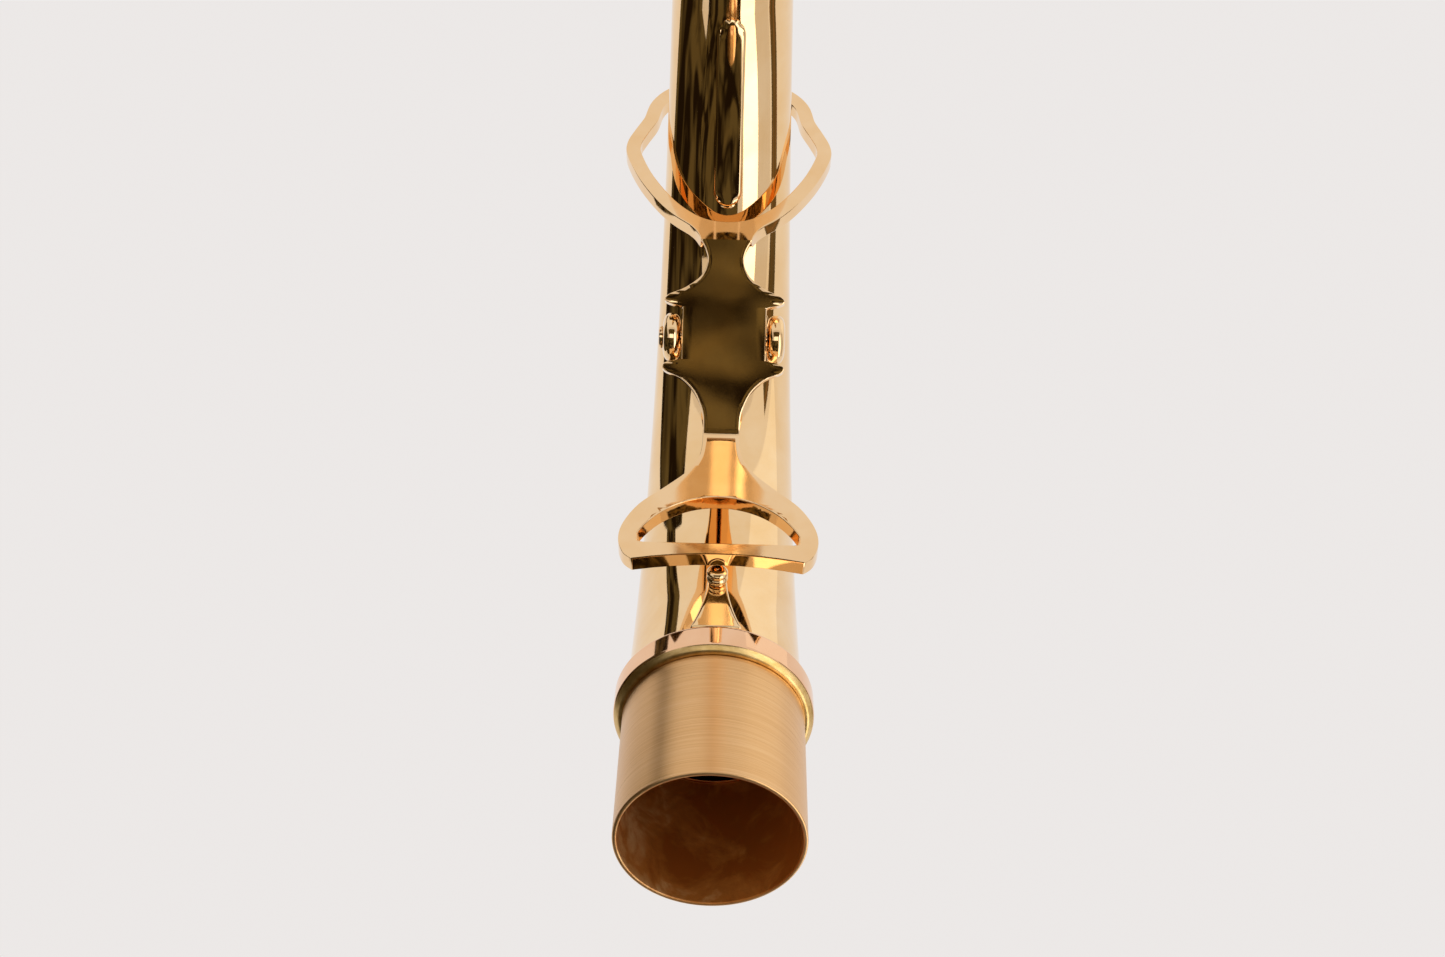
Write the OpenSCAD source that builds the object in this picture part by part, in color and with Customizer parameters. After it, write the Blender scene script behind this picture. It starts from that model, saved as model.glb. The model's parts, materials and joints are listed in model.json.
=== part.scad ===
// Alto saxophone neck with an underslung octave key.
// Z points up along the tenon, X points the way the neck bends, and Y runs across it.
// The origin is on the tenon's axis, in the face of the collar that seats on the instrument.

/* [Tenon] */
// Outside diameter of the tenon that goes into the instrument
tenon_od = 24.5; // [22:0.1:30]
// Length of the tenon below the collar
tenon_len = 21; // [15:0.5:30]
// Wall of the tenon sleeve
tenon_wall = 0.6; // [0.5:0.05:1]

/* [Collar] */
// Height of the collar
collar_h = 4.5; // [3:0.25:8]
// How far the collar stands out from the tenon
collar_lip = 1.25; // [0.8:0.05:3]
// Chamfer on the collar's edges
collar_chamfer = 0.35; // [0.1:0.05:0.6]

/* [Neck tube] */
// How much narrower the tube is than the tenon, at the collar
tube_step = 0.6; // [0.4:0.05:0.7]
// Wall of the neck tube
tube_wall = 0.6; // [0.5:0.05:1]
// Straight length between the collar and the bend
straight_len = 9; // [6:0.5:14]
// Radius of the bend, on the tube's centreline
bend_r = 60; // [48:1:75]
// Angle of the bend
bend_angle = 105; // [88:1:126]
// Straight length from the bend to the mouthpiece end
tip_len = 66; // [54:1:85]
// Outside diameter at the mouthpiece end
tip_od = 13.3; // [11:0.1:16]

/* [Mouthpiece end] */
// Length of the cork
cork_len = 33; // [26:0.5:44]
// Outside diameter of the cork
cork_od = 16.2; // [15.6:0.1:20]
// Width of the ring behind the cork
ferrule_w = 3; // [1.5:0.25:6]
// Width of the ring at the mouthpiece end
tip_ring_w = 2; // [1:0.25:4]
// Thickness of both rings
ring_wall = 0.7; // [0.4:0.05:1]

/* [Brace plate] */
// Where the plate starts, from the collar along the centreline
brace_st = 85; // [78:0.5:92]
// Length of the plate along the centreline
brace_len = 33; // [24:0.5:42]
// Width of the plate
brace_w = 5; // [3:0.25:8]
// Thickness of the plate
brace_t = 0.5; // [0.3:0.05:1]

/* [Octave vent] */
// Where the vent stands, beyond the bend
vent_past_bend = 3.5; // [3:0.25:9]
// Height of the vent above the tube
vent_h = 4; // [3:0.25:6]
// Outside diameter of the vent
vent_od = 5; // [4:0.1:6]
// Bore of the vent
vent_bore = 2.4; // [1.5:0.1:3]
// Diameter of the saddle that the vent is brazed to
vent_saddle_d = 9; // [7.5:0.25:11]

/* [Octave key] */
// Height of the key's outer face above the tube, where it meets the ring and at its end
key_h = 7; // [6.5:0.25:9]
// Height of the touch above the collar
touch_gap = 8.2; // [7.5:0.1:11]
// Half of the touch's greatest width
touch_half = 13.5; // [11:0.25:17]
// Thickness of the touch
touch_t = 2.5; // [1.8:0.1:3]
// Where the key has its crease, from the collar along the centreline
crease_st = 39; // [36:0.5:42]
// Thickness of the plate over the hinge
plate_t = 1.6; // [1.2:0.1:2]
// Half width of the key's narrowest places
waist_half = 2.6; // [2:0.1:4]
// Where the ring starts, from the collar along the centreline
ring_st = 80; // [76:0.5:84]
// Where the ring passes the tube's sides
ring_side_st = 91.5; // [88:0.5:95]
// Gap between the ring and the tube's sides
ring_side_gap = 3.9; // [2.5:0.1:6]
// Gap between the ring and the tube, below and above the tube
ring_end_gap = 5.2; // [4:0.1:8]
// Width of the ring's band
ring_band = 2.2; // [1.6:0.1:3]
// Thickness of the ring's band
ring_t = 2.2; // [1.6:0.1:3]
// Width of the arm that carries the pad
arm_w = 4.5; // [3:0.25:7]
// Thickness of the arm
arm_t = 1.8; // [1.2:0.1:2.5]

/* [Pad] */
// Outside diameter of the pad cup
cup_od = 10.6; // [9:0.1:14]
// Wall of the pad cup
cup_wall = 0.6; // [0.4:0.05:1]
// Thickness of the pad
pad_t = 2; // [1.4:0.1:3]
// How far the pad stands out of its cup
pad_proud = 0.8; // [0.4:0.1:1.2]

/* [Hinge] */
// Diameter of the key's hinge tube
hinge_tube_od = 4; // [3.4:0.1:5]
// Diameter of the hinge screw
screw_d = 2; // [1.5:0.1:2.4]
// Diameter of the heads of the hinge posts
post_head_d = 7; // [6:0.1:8]
// Thickness of the heads of the hinge posts
post_head_t = 2.6; // [2.4:0.1:3.2]
// Diameter of the stems of the hinge posts
post_stem_d = 2; // [1.4:0.1:2.2]
// Half of the gap between the two posts
post_gap_half = 6.2; // [5:0.1:7]
// Thickness of the saddle under the posts
saddle_t = 0.8; // [0.5:0.05:1.2]
// Length of the saddle
saddle_len = 13; // [9:0.5:18]

/* [Spring] */
// Width of the flat spring
spring_w = 2.8; // [2:0.1:4]
// Thickness of the flat spring
spring_t = 0.35; // [0.2:0.05:0.6]
// Where the spring presses on the neck, from the collar along the centreline
spring_st = 78; // [75:0.5:81]
// Height of the rest that the spring presses on
spring_rest_h = 1.2; // [0.8:0.1:2]
// Diameter of the spring's screw
spring_screw_d = 1.4; // [1:0.1:1.8]

/* [Stop post] */
// Diameter of the button on the stop post
button_d = 3.2; // [2.6:0.1:4.5]
// Height of the button
button_h = 1.9; // [1.4:0.1:2.6]
// Width of the post's foot, at the collar
foot_w = 5.8; // [4:0.1:8]

/* [Fits] */
// Gap between the parts of one joint that are brazed or glued
seat_gap = 0.02; // [0.01:0.005:0.05]
// Gap all round the hinge screw in the hinge tube
hinge_fit = 0.03; // [0.02:0.005:0.08]
// Gap at each end of the hinge tube
hinge_end_gap = 0.1; // [0.05:0.01:0.3]
// Gap between the closed pad and the vent
pad_gap = 0.03; // [0.02:0.005:0.1]
// Gap between the button and the touch above it
button_gap = 0.4; // [0.2:0.05:1]

/* [Hidden] */
$fn = 64;

// The neck's centreline: straight, bent toward +X, then straight again.
// A place on it is its distance from the collar's upper face.
tube_od = tenon_od - tube_step;
arc_len = bend_r * bend_angle * PI / 180;
bend_end = straight_len + arc_len;
neck_len = bend_end + tip_len;

function turned(st) = max(0, min(st - straight_len, arc_len)) / bend_r * 180 / PI;
function centre(st) = let (a = turned(st), past = max(0, st - bend_end))
    [bend_r * (1 - cos(a)) + past * sin(a), 0,
     collar_h + min(st, straight_len) + bend_r * sin(a) + past * cos(a)];
function along(st) = [sin(turned(st)), 0, cos(turned(st))];
function under(st) = [cos(turned(st)), 0, -sin(turned(st))];
function tube_r(st) = (tube_od - (tube_od - tip_od) * max(0, st) / neck_len) / 2;
function off_tube(st, h) = centre(st) + under(st) * (tube_r(st) + h);

// Puts its children at a place on the centreline, with +Z along the tube and +X to its underside.
module at_neck(st) translate(centre(st)) rotate([0, turned(st), 0]) children();

// A solid round the whole bend and both straights, swept along the centreline.
sweep_sides = 40;
sweep_step = 5;
module neck_sweep(from, to, grow) {
    bends = [for (i = [0 : ceil(arc_len / sweep_step)])
             straight_len + arc_len * i / ceil(arc_len / sweep_step)];
    stations = concat([from], [for (s = bends) if (s > from + 1 && s < to - 1) s], [to]);
    n = len(stations);
    points = [for (s = stations, k = [0 : sweep_sides - 1]) let (f = 360 * k / sweep_sides)
              centre(s) + (tube_r(s) + grow) * (cos(f) * under(s) + sin(f) * [0, 1, 0])];
    walls = [for (i = [0 : n - 2], k = [0 : sweep_sides - 1])
             let (a = i * sweep_sides, b = (k + 1) % sweep_sides)
             [a + k, a + sweep_sides + k, a + sweep_sides + b, a + b]];
    polyhedron(points, concat(walls, [[for (k = [0 : sweep_sides - 1]) k]],
               [[for (k = [sweep_sides - 1 : -1 : 0]) (n - 1) * sweep_sides + k]]), convexity = 8);
}

// A strip with round ends that lies on the underside of the tube.
strip_steps = 22;
strip_sides = 6;
module tube_strip(start, length, width, lift, t) {
    half = width / 2;
    function reach(p) = half * sqrt(max(0.02, 1 - pow(max(0, 1 - p / half), 2)));
    function rounded(i) = length / 2 * (1 - cos(180 * i / strip_steps));
    row = strip_sides + 1;
    points = [for (i = [0 : strip_steps], side = [0, 1], k = [0 : strip_sides])
              let (p = rounded(i), s = start + p, r = tube_r(s) + lift + side * t,
                   f = asin(min(reach(p), reach(length - p)) / r) * (2 * k / strip_sides - 1))
              centre(s) + r * (cos(f) * under(s) + sin(f) * [0, 1, 0])];
    function id(i, side, k) = (i * 2 + side) * row + k;
    skins = [for (i = [0 : strip_steps - 1], k = [0 : strip_sides - 1], side = [0, 1])
             let (q = [id(i, side, k), id(i + 1, side, k), id(i + 1, side, k + 1), id(i, side, k + 1)])
             side == 0 ? q : [q[3], q[2], q[1], q[0]]];
    edges = [for (i = [0 : strip_steps - 1], e = [0, 1])
             let (k = e * strip_sides,
                  q = [id(i, 0, k), id(i, 1, k), id(i + 1, 1, k), id(i + 1, 0, k)])
             e == 0 ? q : [q[3], q[2], q[1], q[0]]];
    ends = [for (i = [0, strip_steps], k = [0 : strip_sides - 1])
            let (q = [id(i, 0, k), id(i, 0, k + 1), id(i, 1, k + 1), id(i, 1, k)])
            i == 0 ? q : [q[3], q[2], q[1], q[0]]];
    polyhedron(points, concat(skins, edges, ends), convexity = 6);
}

// A smooth curve through a few points.
function catmull(a, b, c, d, t) = 0.5 * (2 * b + (c - a) * t + (2 * a - 5 * b + 4 * c - d) * t * t
                                         + (3 * b - a - 3 * c + d) * t * t * t);
function smooth(p, n = 4) = [for (i = [0 : len(p) - 2], j = [0 : n - 1])
    catmull(p[max(0, i - 1)], p[i], p[i + 1], p[min(len(p) - 1, i + 2)], j / n)];
function mirrored(p) = [for (i = [len(p) - 1 : -1 : 0]) [p[i][0], -p[i][1]]];
function both_sides(p) = concat(p, mirrored(p));

// The key's outer face is three flats in a row: the touch, the plate and the ring.
touch_at = off_tube(touch_gap, key_h);
crease_at = off_tube(crease_st, key_h);
ring_at = off_tube(ring_st, key_h);
ring_mid = centre(ring_side_st);
function slope(a, b) = atan2(b[2] - a[2], b[0] - a[0]);
touch_slope = slope(touch_at, crease_at);
plate_slope = slope(crease_at, ring_at);
ring_slope = slope(ring_at, ring_mid);
touch_len = norm(crease_at - touch_at);
plate_len = norm(ring_at - crease_at);
crease_fill = tan((touch_slope - plate_slope) / 2);

// Puts a flat outline on one of those faces: its own X runs along the face,
// its own Z goes from the face toward the tube.
module on_face(at, slope) translate(at) rotate([0, -slope, 0]) children();
function face_point(at, slope, u, depth) =
    at + u * [cos(slope), 0, sin(slope)] + depth * [-sin(slope), 0, cos(slope)];

// The hinge lies under the plate, half way between the crease and the ring.
hinge_u = 0.52 * plate_len;
hinge_depth = plate_t + hinge_tube_od / 2 - 0.15;
hinge_at = face_point(crease_at, plate_slope, hinge_u, hinge_depth);
hinge_st = straight_len + bend_r * PI / 180
    * atan2(hinge_at[2] - collar_h - straight_len, bend_r - hinge_at[0]);
notch_half = post_head_d / 2 + 0.3;
head_y = post_gap_half + post_head_t / 2;

// The octave vent stands on the neck's upper side, beyond the bend.
vent_st = bend_end + vent_past_bend;
vent_r = tube_r(vent_st);
pad_seat = vent_h + pad_gap;
cup_h = pad_t - pad_proud + cup_wall * 2;
cup_top = pad_seat + pad_proud + cup_h;
module at_vent() at_neck(vent_st) rotate([0, -90, 0]) translate([0, 0, vent_r]) children();

// Neck

module neck_tube() color("goldenrod") difference() {
    neck_sweep(-collar_h + seat_gap, neck_len, 0);
    neck_sweep(-collar_h - 1, neck_len + 1, -tube_wall);
    at_vent() translate([0, 0, -2 * tube_wall - 1])
        cylinder(h = vent_od, d = vent_od + 2 * seat_gap);
}

module tenon_sleeve() color("darkkhaki") translate([0, 0, -tenon_len]) difference() {
    cylinder(h = tenon_len, d = tenon_od, $fn = 96);
    translate([0, 0, -1]) cylinder(h = tenon_len + 2, d = tenon_od - 2 * tenon_wall, $fn = 96);
}

module collar_ring() color("peru") {
    in = tube_od / 2 + seat_gap;
    out = tenon_od / 2 + collar_lip;
    c = collar_chamfer;
    rotate_extrude($fn = 96)
        polygon([[in, 0], [out - c, 0], [out, c], [out, collar_h - c],
                 [out - c, collar_h], [in, collar_h]]);
}

module brace_plate() color("goldenrod")
    tube_strip(brace_st, brace_len, brace_w, 3 * seat_gap, brace_t);

// Mouthpiece end

// A band round the tip, from one place to another, that fits the tube's taper.
module tip_band(from, to, od_from, od_to) at_neck(from) difference() {
    cylinder(h = to - from, d1 = od_from, d2 = od_to);
    translate([0, 0, -1])
        cylinder(h = to - from + 2, r1 = tube_r(from - 1) + seat_gap, r2 = tube_r(to + 1) + seat_gap);
}

cork_end = neck_len - tip_ring_w;
cork_start = cork_end - cork_len;
// The cork's wall is thinner at its root, where the tube is wider.
cork_root_share = 0.3208;
cork_root_od = round(100 * (2 * tube_r(cork_start)
    + cork_root_share * (cork_od - 2 * tube_r(cork_end)))) / 100;

module cork_ferrule() color("gold")
    tip_band(cork_start - ferrule_w, cork_start, 2 * tube_r(cork_start - ferrule_w) + 2 * ring_wall,
             2 * tube_r(cork_start) + 2 * ring_wall);

module neck_cork() color("burlywood") tip_band(cork_start, cork_end, cork_root_od, cork_od);

module tip_ring() color("gold")
    tip_band(cork_end, neck_len, tip_od + 2 * ring_wall, tip_od + 2 * ring_wall);

// Octave vent

module vent_saddle() color("goldenrod") {
    lift = 0.9;
    at_neck(vent_st) intersection() {
        difference() {
            translate([0, 0, -vent_saddle_d])
                cylinder(h = 2 * vent_saddle_d, r = vent_r + lift);
            translate([0, 0, -vent_saddle_d - 1])
                cylinder(h = 2 * vent_saddle_d + 2, r1 = tube_r(vent_st - vent_saddle_d - 1) + seat_gap,
                         r2 = tube_r(vent_st + vent_saddle_d + 1) + seat_gap);
            rotate([0, -90, 0]) cylinder(h = 2 * vent_r, d = vent_od + 2 * seat_gap);
        }
        rotate([0, -90, 0]) cylinder(h = 2 * vent_r, d = vent_saddle_d);
    }
}

module octave_vent() color("gold") at_vent() {
    foot = 2 * tube_wall + 0.6;
    rotate_extrude()
        polygon([[vent_bore / 2, -foot], [vent_od / 2, -foot], [vent_od / 2, vent_h - 1.2],
                 [vent_bore / 2 + 0.5, vent_h], [vent_bore / 2, vent_h]]);
}

// Hinge

module hinge_saddle() color("goldenrod") {
    saddle_half = head_y + post_stem_d / 2 + 0.6;
    intersection() {
        difference() {
            neck_sweep(hinge_st - saddle_len, hinge_st + saddle_len, saddle_t);
            neck_sweep(hinge_st - saddle_len - 2, hinge_st + saddle_len + 2, seat_gap);
        }
        at_neck(hinge_st) translate([0, -saddle_half, -saddle_len / 2])
            cube([3 * tube_od, 2 * saddle_half, saddle_len]);
    }
}

// A post stands on the saddle; its round head holds one end of the hinge screw.
module hinge_post(side) color("gold") translate(hinge_at + [0, side * head_y, 0]) {
    bore = screw_d / 2 + seat_gap;
    half = post_head_t / 2;
    rim = post_head_d / 2;
    c = (post_head_t - post_stem_d) / 3;
    rotate([90, 0, 0]) rotate_extrude()
        polygon([[bore, -half], [rim - c, -half], [rim, c - half], [rim, half - c],
                 [rim - c, half], [bore, half]]);
    difference() {
        rotate([0, turned(hinge_st) - 90, 0]) translate([0, 0, rim - 0.6])
            cylinder(h = tube_od / 2, d = post_stem_d);
        translate(-hinge_at - [0, side * head_y, 0]) at_neck(hinge_st)
            cylinder(h = saddle_len, r = tube_r(hinge_st) + saddle_t + 2 * seat_gap, center = true);
    }
}

module hinge_post_left() hinge_post(1);
module hinge_post_right() hinge_post(-1);

module hinge_screw() color("silver") {
    reach = post_gap_half + post_head_t;
    head_d = screw_d + 1.2;
    head_t = 0.5;
    slot_w = 0.4;
    translate(hinge_at) rotate([90, 0, 0]) {
        cylinder(h = 2 * reach, d = screw_d, center = true);
        translate([0, 0, reach + seat_gap]) difference() {
            cylinder(h = head_t, d = head_d);
            translate([-head_d, -slot_w / 2, head_t / 2]) cube([2 * head_d, slot_w, head_t]);
        }
        translate([0, 0, reach - 0.1]) cylinder(h = 0.2, d = screw_d);
    }
}

// Octave key

module touch_lever() color("goldenrod") {
    reach = touch_half;
    // half outline of the touch and its stem, from the end up to the crease
    touch_side = smooth([[-1.2, reach - 2], [0, reach - 0.7], [2.4, reach], [5.2, reach - 0.5],
                         [8.6, reach - 2.5], [11.6, reach - 5.7], [14.6, reach - 8.7],
                         [touch_len - 4, waist_half + 0.5], [touch_len - 1, waist_half],
                         [touch_len, waist_half]]);
    // the end of the touch is hollowed a little between its corners
    touch_end = [for (p = [-8 : 8]) let (y = p / 8 * (reach - 2)) [-1.2 * pow(y / (reach - 2), 2), y]];
    slot_r = reach - 1.3;
    slot_floor = 1.9;
    slot_half = reach - 2.6;

    on_face(touch_at, touch_slope) difference() {
        linear_extrude(touch_t) polygon(concat(touch_end,
            touch_side, [[touch_len + touch_t * crease_fill, waist_half],
                         [touch_len + touch_t * crease_fill, -waist_half]], mirrored(touch_side)));
        translate([0, 0, -1]) linear_extrude(touch_t + 2) intersection() {
            translate([-2.1, 0]) circle(r = slot_r, $fn = 96);
            translate([slot_floor, -slot_half]) square([slot_r, 2 * slot_half]);
        }
    }

    // half outline of the plate, from the crease past the notches to the ring
    tab = post_gap_half + 2.2;
    lower = hinge_u - notch_half;
    upper = hinge_u + notch_half;
    plate_side = concat(
        smooth([[0, waist_half], [lower - 7.6, waist_half + 0.2], [lower - 4.8, waist_half + 1.4],
                [lower - 2.8, waist_half + 3.4], [lower - 1.7, tab], [lower - 0.6, tab],
                [lower, post_gap_half - 0.2]]),
        [[lower, post_gap_half - 0.2], [upper, post_gap_half - 0.2]],
        smooth([[upper, post_gap_half - 0.2], [upper + 0.7, tab], [upper + 1.7, tab - 0.2],
                [upper + 2.8, waist_half + 3.2], [upper + 4.6, waist_half + 0.9],
                [upper + 6.6, waist_half], [plate_len - 1.6, waist_half + 0.3],
                [plate_len, waist_half + 1.1]]),
        [[plate_len, waist_half + 1.1]]);

    difference() {
        on_face(crease_at, plate_slope) linear_extrude(plate_t) polygon(concat(
            [[-plate_t * crease_fill, waist_half]], plate_side, mirrored(plate_side),
            [[-plate_t * crease_fill, -waist_half]]));
        translate(hinge_at) rotate([90, 0, 0])
            cylinder(h = 40, d = hinge_tube_od + 2 * seat_gap, center = true);
        spring_hole(0.5, plate_t + 1);
    }
}

// The ring goes round the tube. Its inner edge is one smooth curve, given as shares of the
// half length and half width of the opening, from the underside to the top.
ring_rise = norm(ring_mid - ring_at);
ring_tilt = 180 - turned(ring_side_st) - ring_slope;
ring_half_len = tube_r(ring_side_st) / cos(ring_tilt) + ring_end_gap;
ring_half_w = tube_r(ring_side_st) + ring_side_gap;
ring_curve = [[-1, 0], [-0.98, 0.17], [-0.9, 0.36], [-0.71, 0.59], [-0.39, 0.83], [-0.08, 0.98],
              [0.07, 1], [0.24, 0.93], [0.44, 0.83], [0.68, 0.76], [0.86, 0.58], [0.97, 0.25], [1, 0]];
ring_side = [for (p = smooth(ring_curve)) [ring_rise + p[0] * ring_half_len, p[1] * ring_half_w]];
ring_inner = concat(ring_side, [[ring_rise + ring_half_len, 0]],
                    [for (i = [len(ring_side) - 1 : -1 : 1]) [ring_side[i][0], -ring_side[i][1]]]);
function grown(p, d) = [for (i = [0 : len(p) - 1])
    let (t = p[(i + 1) % len(p)] - p[(i + len(p) - 1) % len(p)]) p[i] + d * [-t[1], t[0]] / norm(t)];

module key_ring() color("goldenrod") difference() {
    web = [[0, waist_half + 1.1], [1.7, waist_half + 1.9], [3.6, waist_half + 3.5],
           [5.6, waist_half + 5]];
    on_face(ring_at, ring_slope) linear_extrude(ring_t) difference() {
        union() {
            polygon(grown(ring_inner, ring_band));
            polygon(both_sides(web));
        }
        polygon(ring_inner);
    }
    on_face(crease_at, plate_slope) translate([plate_len - 20, -20, -5]) cube([20, 40, 20]);
}

module hinge_tube() color("goldenrod") translate(hinge_at) rotate([90, 0, 0]) difference() {
    cylinder(h = 2 * (post_gap_half - hinge_end_gap), d = hinge_tube_od, center = true);
    cylinder(h = 40, d = screw_d + 2 * hinge_fit, center = true);
}

// A point over the vent: x along the tube from the vent's axis, h above the tube.
function over_vent(x, h) = centre(vent_st) - under(vent_st) * (vent_r + h) + along(vent_st) * x;

module pad_arm() color("goldenrod") {
    root = ring_rise + ring_half_len + 0.2;
    rest = cup_top + seat_gap;
    back = -cup_od / 2 - 0.2;
    front = 2.2;
    side = [face_point(ring_at, ring_slope, root, -seat_gap), over_vent(back, rest),
            over_vent(front, rest), over_vent(front, rest + arm_t), over_vent(back, rest + arm_t),
            face_point(ring_at, ring_slope, root + arm_t, -seat_gap)];
    rotate([90, 0, 0]) linear_extrude(arm_w, center = true) polygon([for (p = side) [p[0], p[2]]]);
}

module pad_cup() color("goldenrod") at_vent() translate([0, 0, pad_seat + pad_proud]) difference() {
    cylinder(h = cup_h, d = cup_od);
    translate([0, 0, -1]) cylinder(h = 1 + pad_t - pad_proud + seat_gap, d = cup_od - 2 * cup_wall);
}

module key_pad() color("saddlebrown") at_vent() translate([0, 0, pad_seat])
    cylinder(h = pad_t, d = cup_od - 2 * cup_wall - 2 * seat_gap);

// Spring: screwed under the plate beside the hinge, it bows down to its rest on the neck.
spring_u = hinge_u + hinge_tube_od / 2 + 2.5;
spring_seat = plate_t + seat_gap;
spring_flat = 1.8;
spring_tip = off_tube(spring_st, spring_rest_h + 0.05) - crease_at;
tip_u = spring_tip * [cos(plate_slope), 0, sin(plate_slope)];
tip_depth = spring_tip * [-sin(plate_slope), 0, cos(plate_slope)] - spring_t;
module spring_hole(from, to) on_face(crease_at, plate_slope) translate([spring_u, 0, from])
    cylinder(h = to - from, d = spring_screw_d + 2 * seat_gap);

module flat_spring() color("steelblue") difference() {
    from = spring_u + spring_flat;
    bow = [for (i = [0 : 10]) [from + (tip_u - from) * i / 10,
                               spring_seat + (tip_depth - spring_seat) * pow(i / 10, 2)]];
    face = concat([[spring_u - spring_flat, spring_seat]], bow);
    back = [for (i = [len(face) - 1 : -1 : 0]) face[i] + [0, spring_t]];
    on_face(crease_at, plate_slope) rotate([90, 0, 0])
        linear_extrude(spring_w, center = true) polygon(concat(face, back));
    spring_hole(0, spring_seat + spring_t + 1);
}

module spring_screw() color("silver") on_face(crease_at, plate_slope) {
    head = spring_seat + spring_t + seat_gap;
    translate([spring_u, 0, 0.6]) cylinder(h = head - 0.5, d = spring_screw_d);
    translate([spring_u, 0, head]) cylinder(h = 0.7, d = spring_screw_d + 1);
}

module spring_rest() color("goldenrod") intersection() {
    difference() {
        neck_sweep(spring_st - 15, spring_st + 15, spring_rest_h);
        neck_sweep(spring_st - 17, spring_st + 17, seat_gap);
    }
    at_neck(spring_st) translate([0, -spring_w / 2 - 0.3, -1.5]) cube([tube_od, spring_w + 0.6, 3]);
}

// Stop post: a flared foot and a round stem under the end of the touch.
button_st = touch_gap + 0.3;
button_top = key_h - touch_t - button_gap;

module stop_post() color("gold") difference() {
    stem_d = button_d - 0.5;
    foot_t = 1;
    union() {
        at_neck(button_st) rotate([0, 90, 0])
            cylinder(h = tube_r(button_st) + button_top - button_h - seat_gap, d = stem_d);
        on_face([tube_od / 2 + foot_t, 0, collar_h + seat_gap], 90) linear_extrude(foot_t + 2)
            polygon([[0, -foot_w / 2], [0, foot_w / 2], [button_st, stem_d / 2 - 0.2],
                     [button_st, -stem_d / 2 + 0.2]]);
    }
    neck_sweep(-1, straight_len + 20, seat_gap);
}

module stop_button() color("gold") at_neck(button_st) rotate([0, 90, 0])
    translate([0, 0, tube_r(button_st) + button_top - button_h])
        cylinder(h = button_h, d = button_d);

neck_tube();
tenon_sleeve();
collar_ring();
brace_plate();
hinge_saddle();
hinge_post_left();
hinge_post_right();
hinge_screw();
vent_saddle();
octave_vent();
spring_rest();
stop_post();
stop_button();
cork_ferrule();
neck_cork();
tip_ring();
touch_lever();
key_ring();
hinge_tube();
pad_arm();
pad_cup();
key_pad();
flat_spring();
spring_screw();
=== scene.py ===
import json
from math import radians, sin, cos, atan2, sqrt, pi
import bpy
from mathutils import Vector, Matrix


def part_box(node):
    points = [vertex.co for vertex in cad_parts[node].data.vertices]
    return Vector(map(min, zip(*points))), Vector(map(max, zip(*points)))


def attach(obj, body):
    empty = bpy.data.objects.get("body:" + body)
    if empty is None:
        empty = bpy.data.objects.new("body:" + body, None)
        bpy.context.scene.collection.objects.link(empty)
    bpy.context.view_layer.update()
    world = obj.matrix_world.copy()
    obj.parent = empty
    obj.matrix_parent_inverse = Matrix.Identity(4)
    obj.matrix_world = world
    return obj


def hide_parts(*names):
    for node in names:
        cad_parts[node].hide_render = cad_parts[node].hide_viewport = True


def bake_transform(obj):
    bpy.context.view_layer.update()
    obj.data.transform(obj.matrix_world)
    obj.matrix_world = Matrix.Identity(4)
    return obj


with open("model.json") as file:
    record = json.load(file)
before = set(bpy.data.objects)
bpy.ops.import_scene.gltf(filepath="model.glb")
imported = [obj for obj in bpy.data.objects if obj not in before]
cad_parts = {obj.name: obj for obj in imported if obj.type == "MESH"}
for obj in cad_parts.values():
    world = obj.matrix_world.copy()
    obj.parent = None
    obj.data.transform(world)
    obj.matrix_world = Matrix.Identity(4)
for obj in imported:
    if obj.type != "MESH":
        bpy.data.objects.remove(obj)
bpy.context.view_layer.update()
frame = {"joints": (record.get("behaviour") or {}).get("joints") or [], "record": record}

record = frame["record"]


def boxOf(node):
    low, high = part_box(node)
    return Vector(low), Vector(high)


def mountOf(name):
    return next(m for m in record["mounts"] if m["name"] == name)


# what the frame says about the neck, in metres
collarHigh = boxOf("collar_ring")[1]
sleeveLow, sleeveHigh = boxOf("tenon_sleeve")
tenonRadius = mountOf("tenon")["dims"]["r_mm"] / 1000
corkRadius = mountOf("mouthpiece_cork")["dims"]["r_mm"] / 1000
corkLength = mountOf("mouthpiece_cork")["dims"]["length_mm"] / 1000
hingeAt = Vector(frame["joints"][0]["pos_m"])

neck = {
    "straight": 0.009,        # from the collar to the bend
    "bendRadius": 0.060,
    "bendAngle": radians(105),
    "tip": 0.066,             # from the bend to the mouthpiece end
    "step": 0.0003,           # the tube is this much narrower than the tenon, all round
    "tipRadius": 0.00665,
    "wall": 0.0006,
    "gap": 0.00003,           # between pieces that are brazed together
}
bendLength = neck["bendRadius"] * neck["bendAngle"]
bendEnd = neck["straight"] + bendLength
neckLength = bendEnd + neck["tip"]
tubeRadius = tenonRadius - neck["step"]
ventAt = bendEnd + 0.0035
springRestAt = 0.078

leastRadius = 0.0000005   # a pulled circle can't shrink to nothing
axis = 0.00001            # radius that closes an outline on its own axis
slack = 0.00002           # clearance between pieces that touch


# a place on the neck is its distance from the collar along the centreline
def turned(s):
    return max(0.0, min(s - neck["straight"], bendLength)) / neck["bendRadius"]


def centre(s):
    a, r, past = turned(s), neck["bendRadius"], max(0.0, s - bendEnd)
    return Vector((r * (1 - cos(a)) + past * sin(a), 0,
                   collarHigh.z + min(s, neck["straight"]) + r * sin(a) + past * cos(a)))


def along(s):
    return Vector((sin(turned(s)), 0, cos(turned(s))))


def under(s):
    return Vector((cos(turned(s)), 0, -sin(turned(s))))


def radiusAt(s):
    return tubeRadius - (tubeRadius - neck["tipRadius"]) * max(0.0, s) / neckLength


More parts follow.
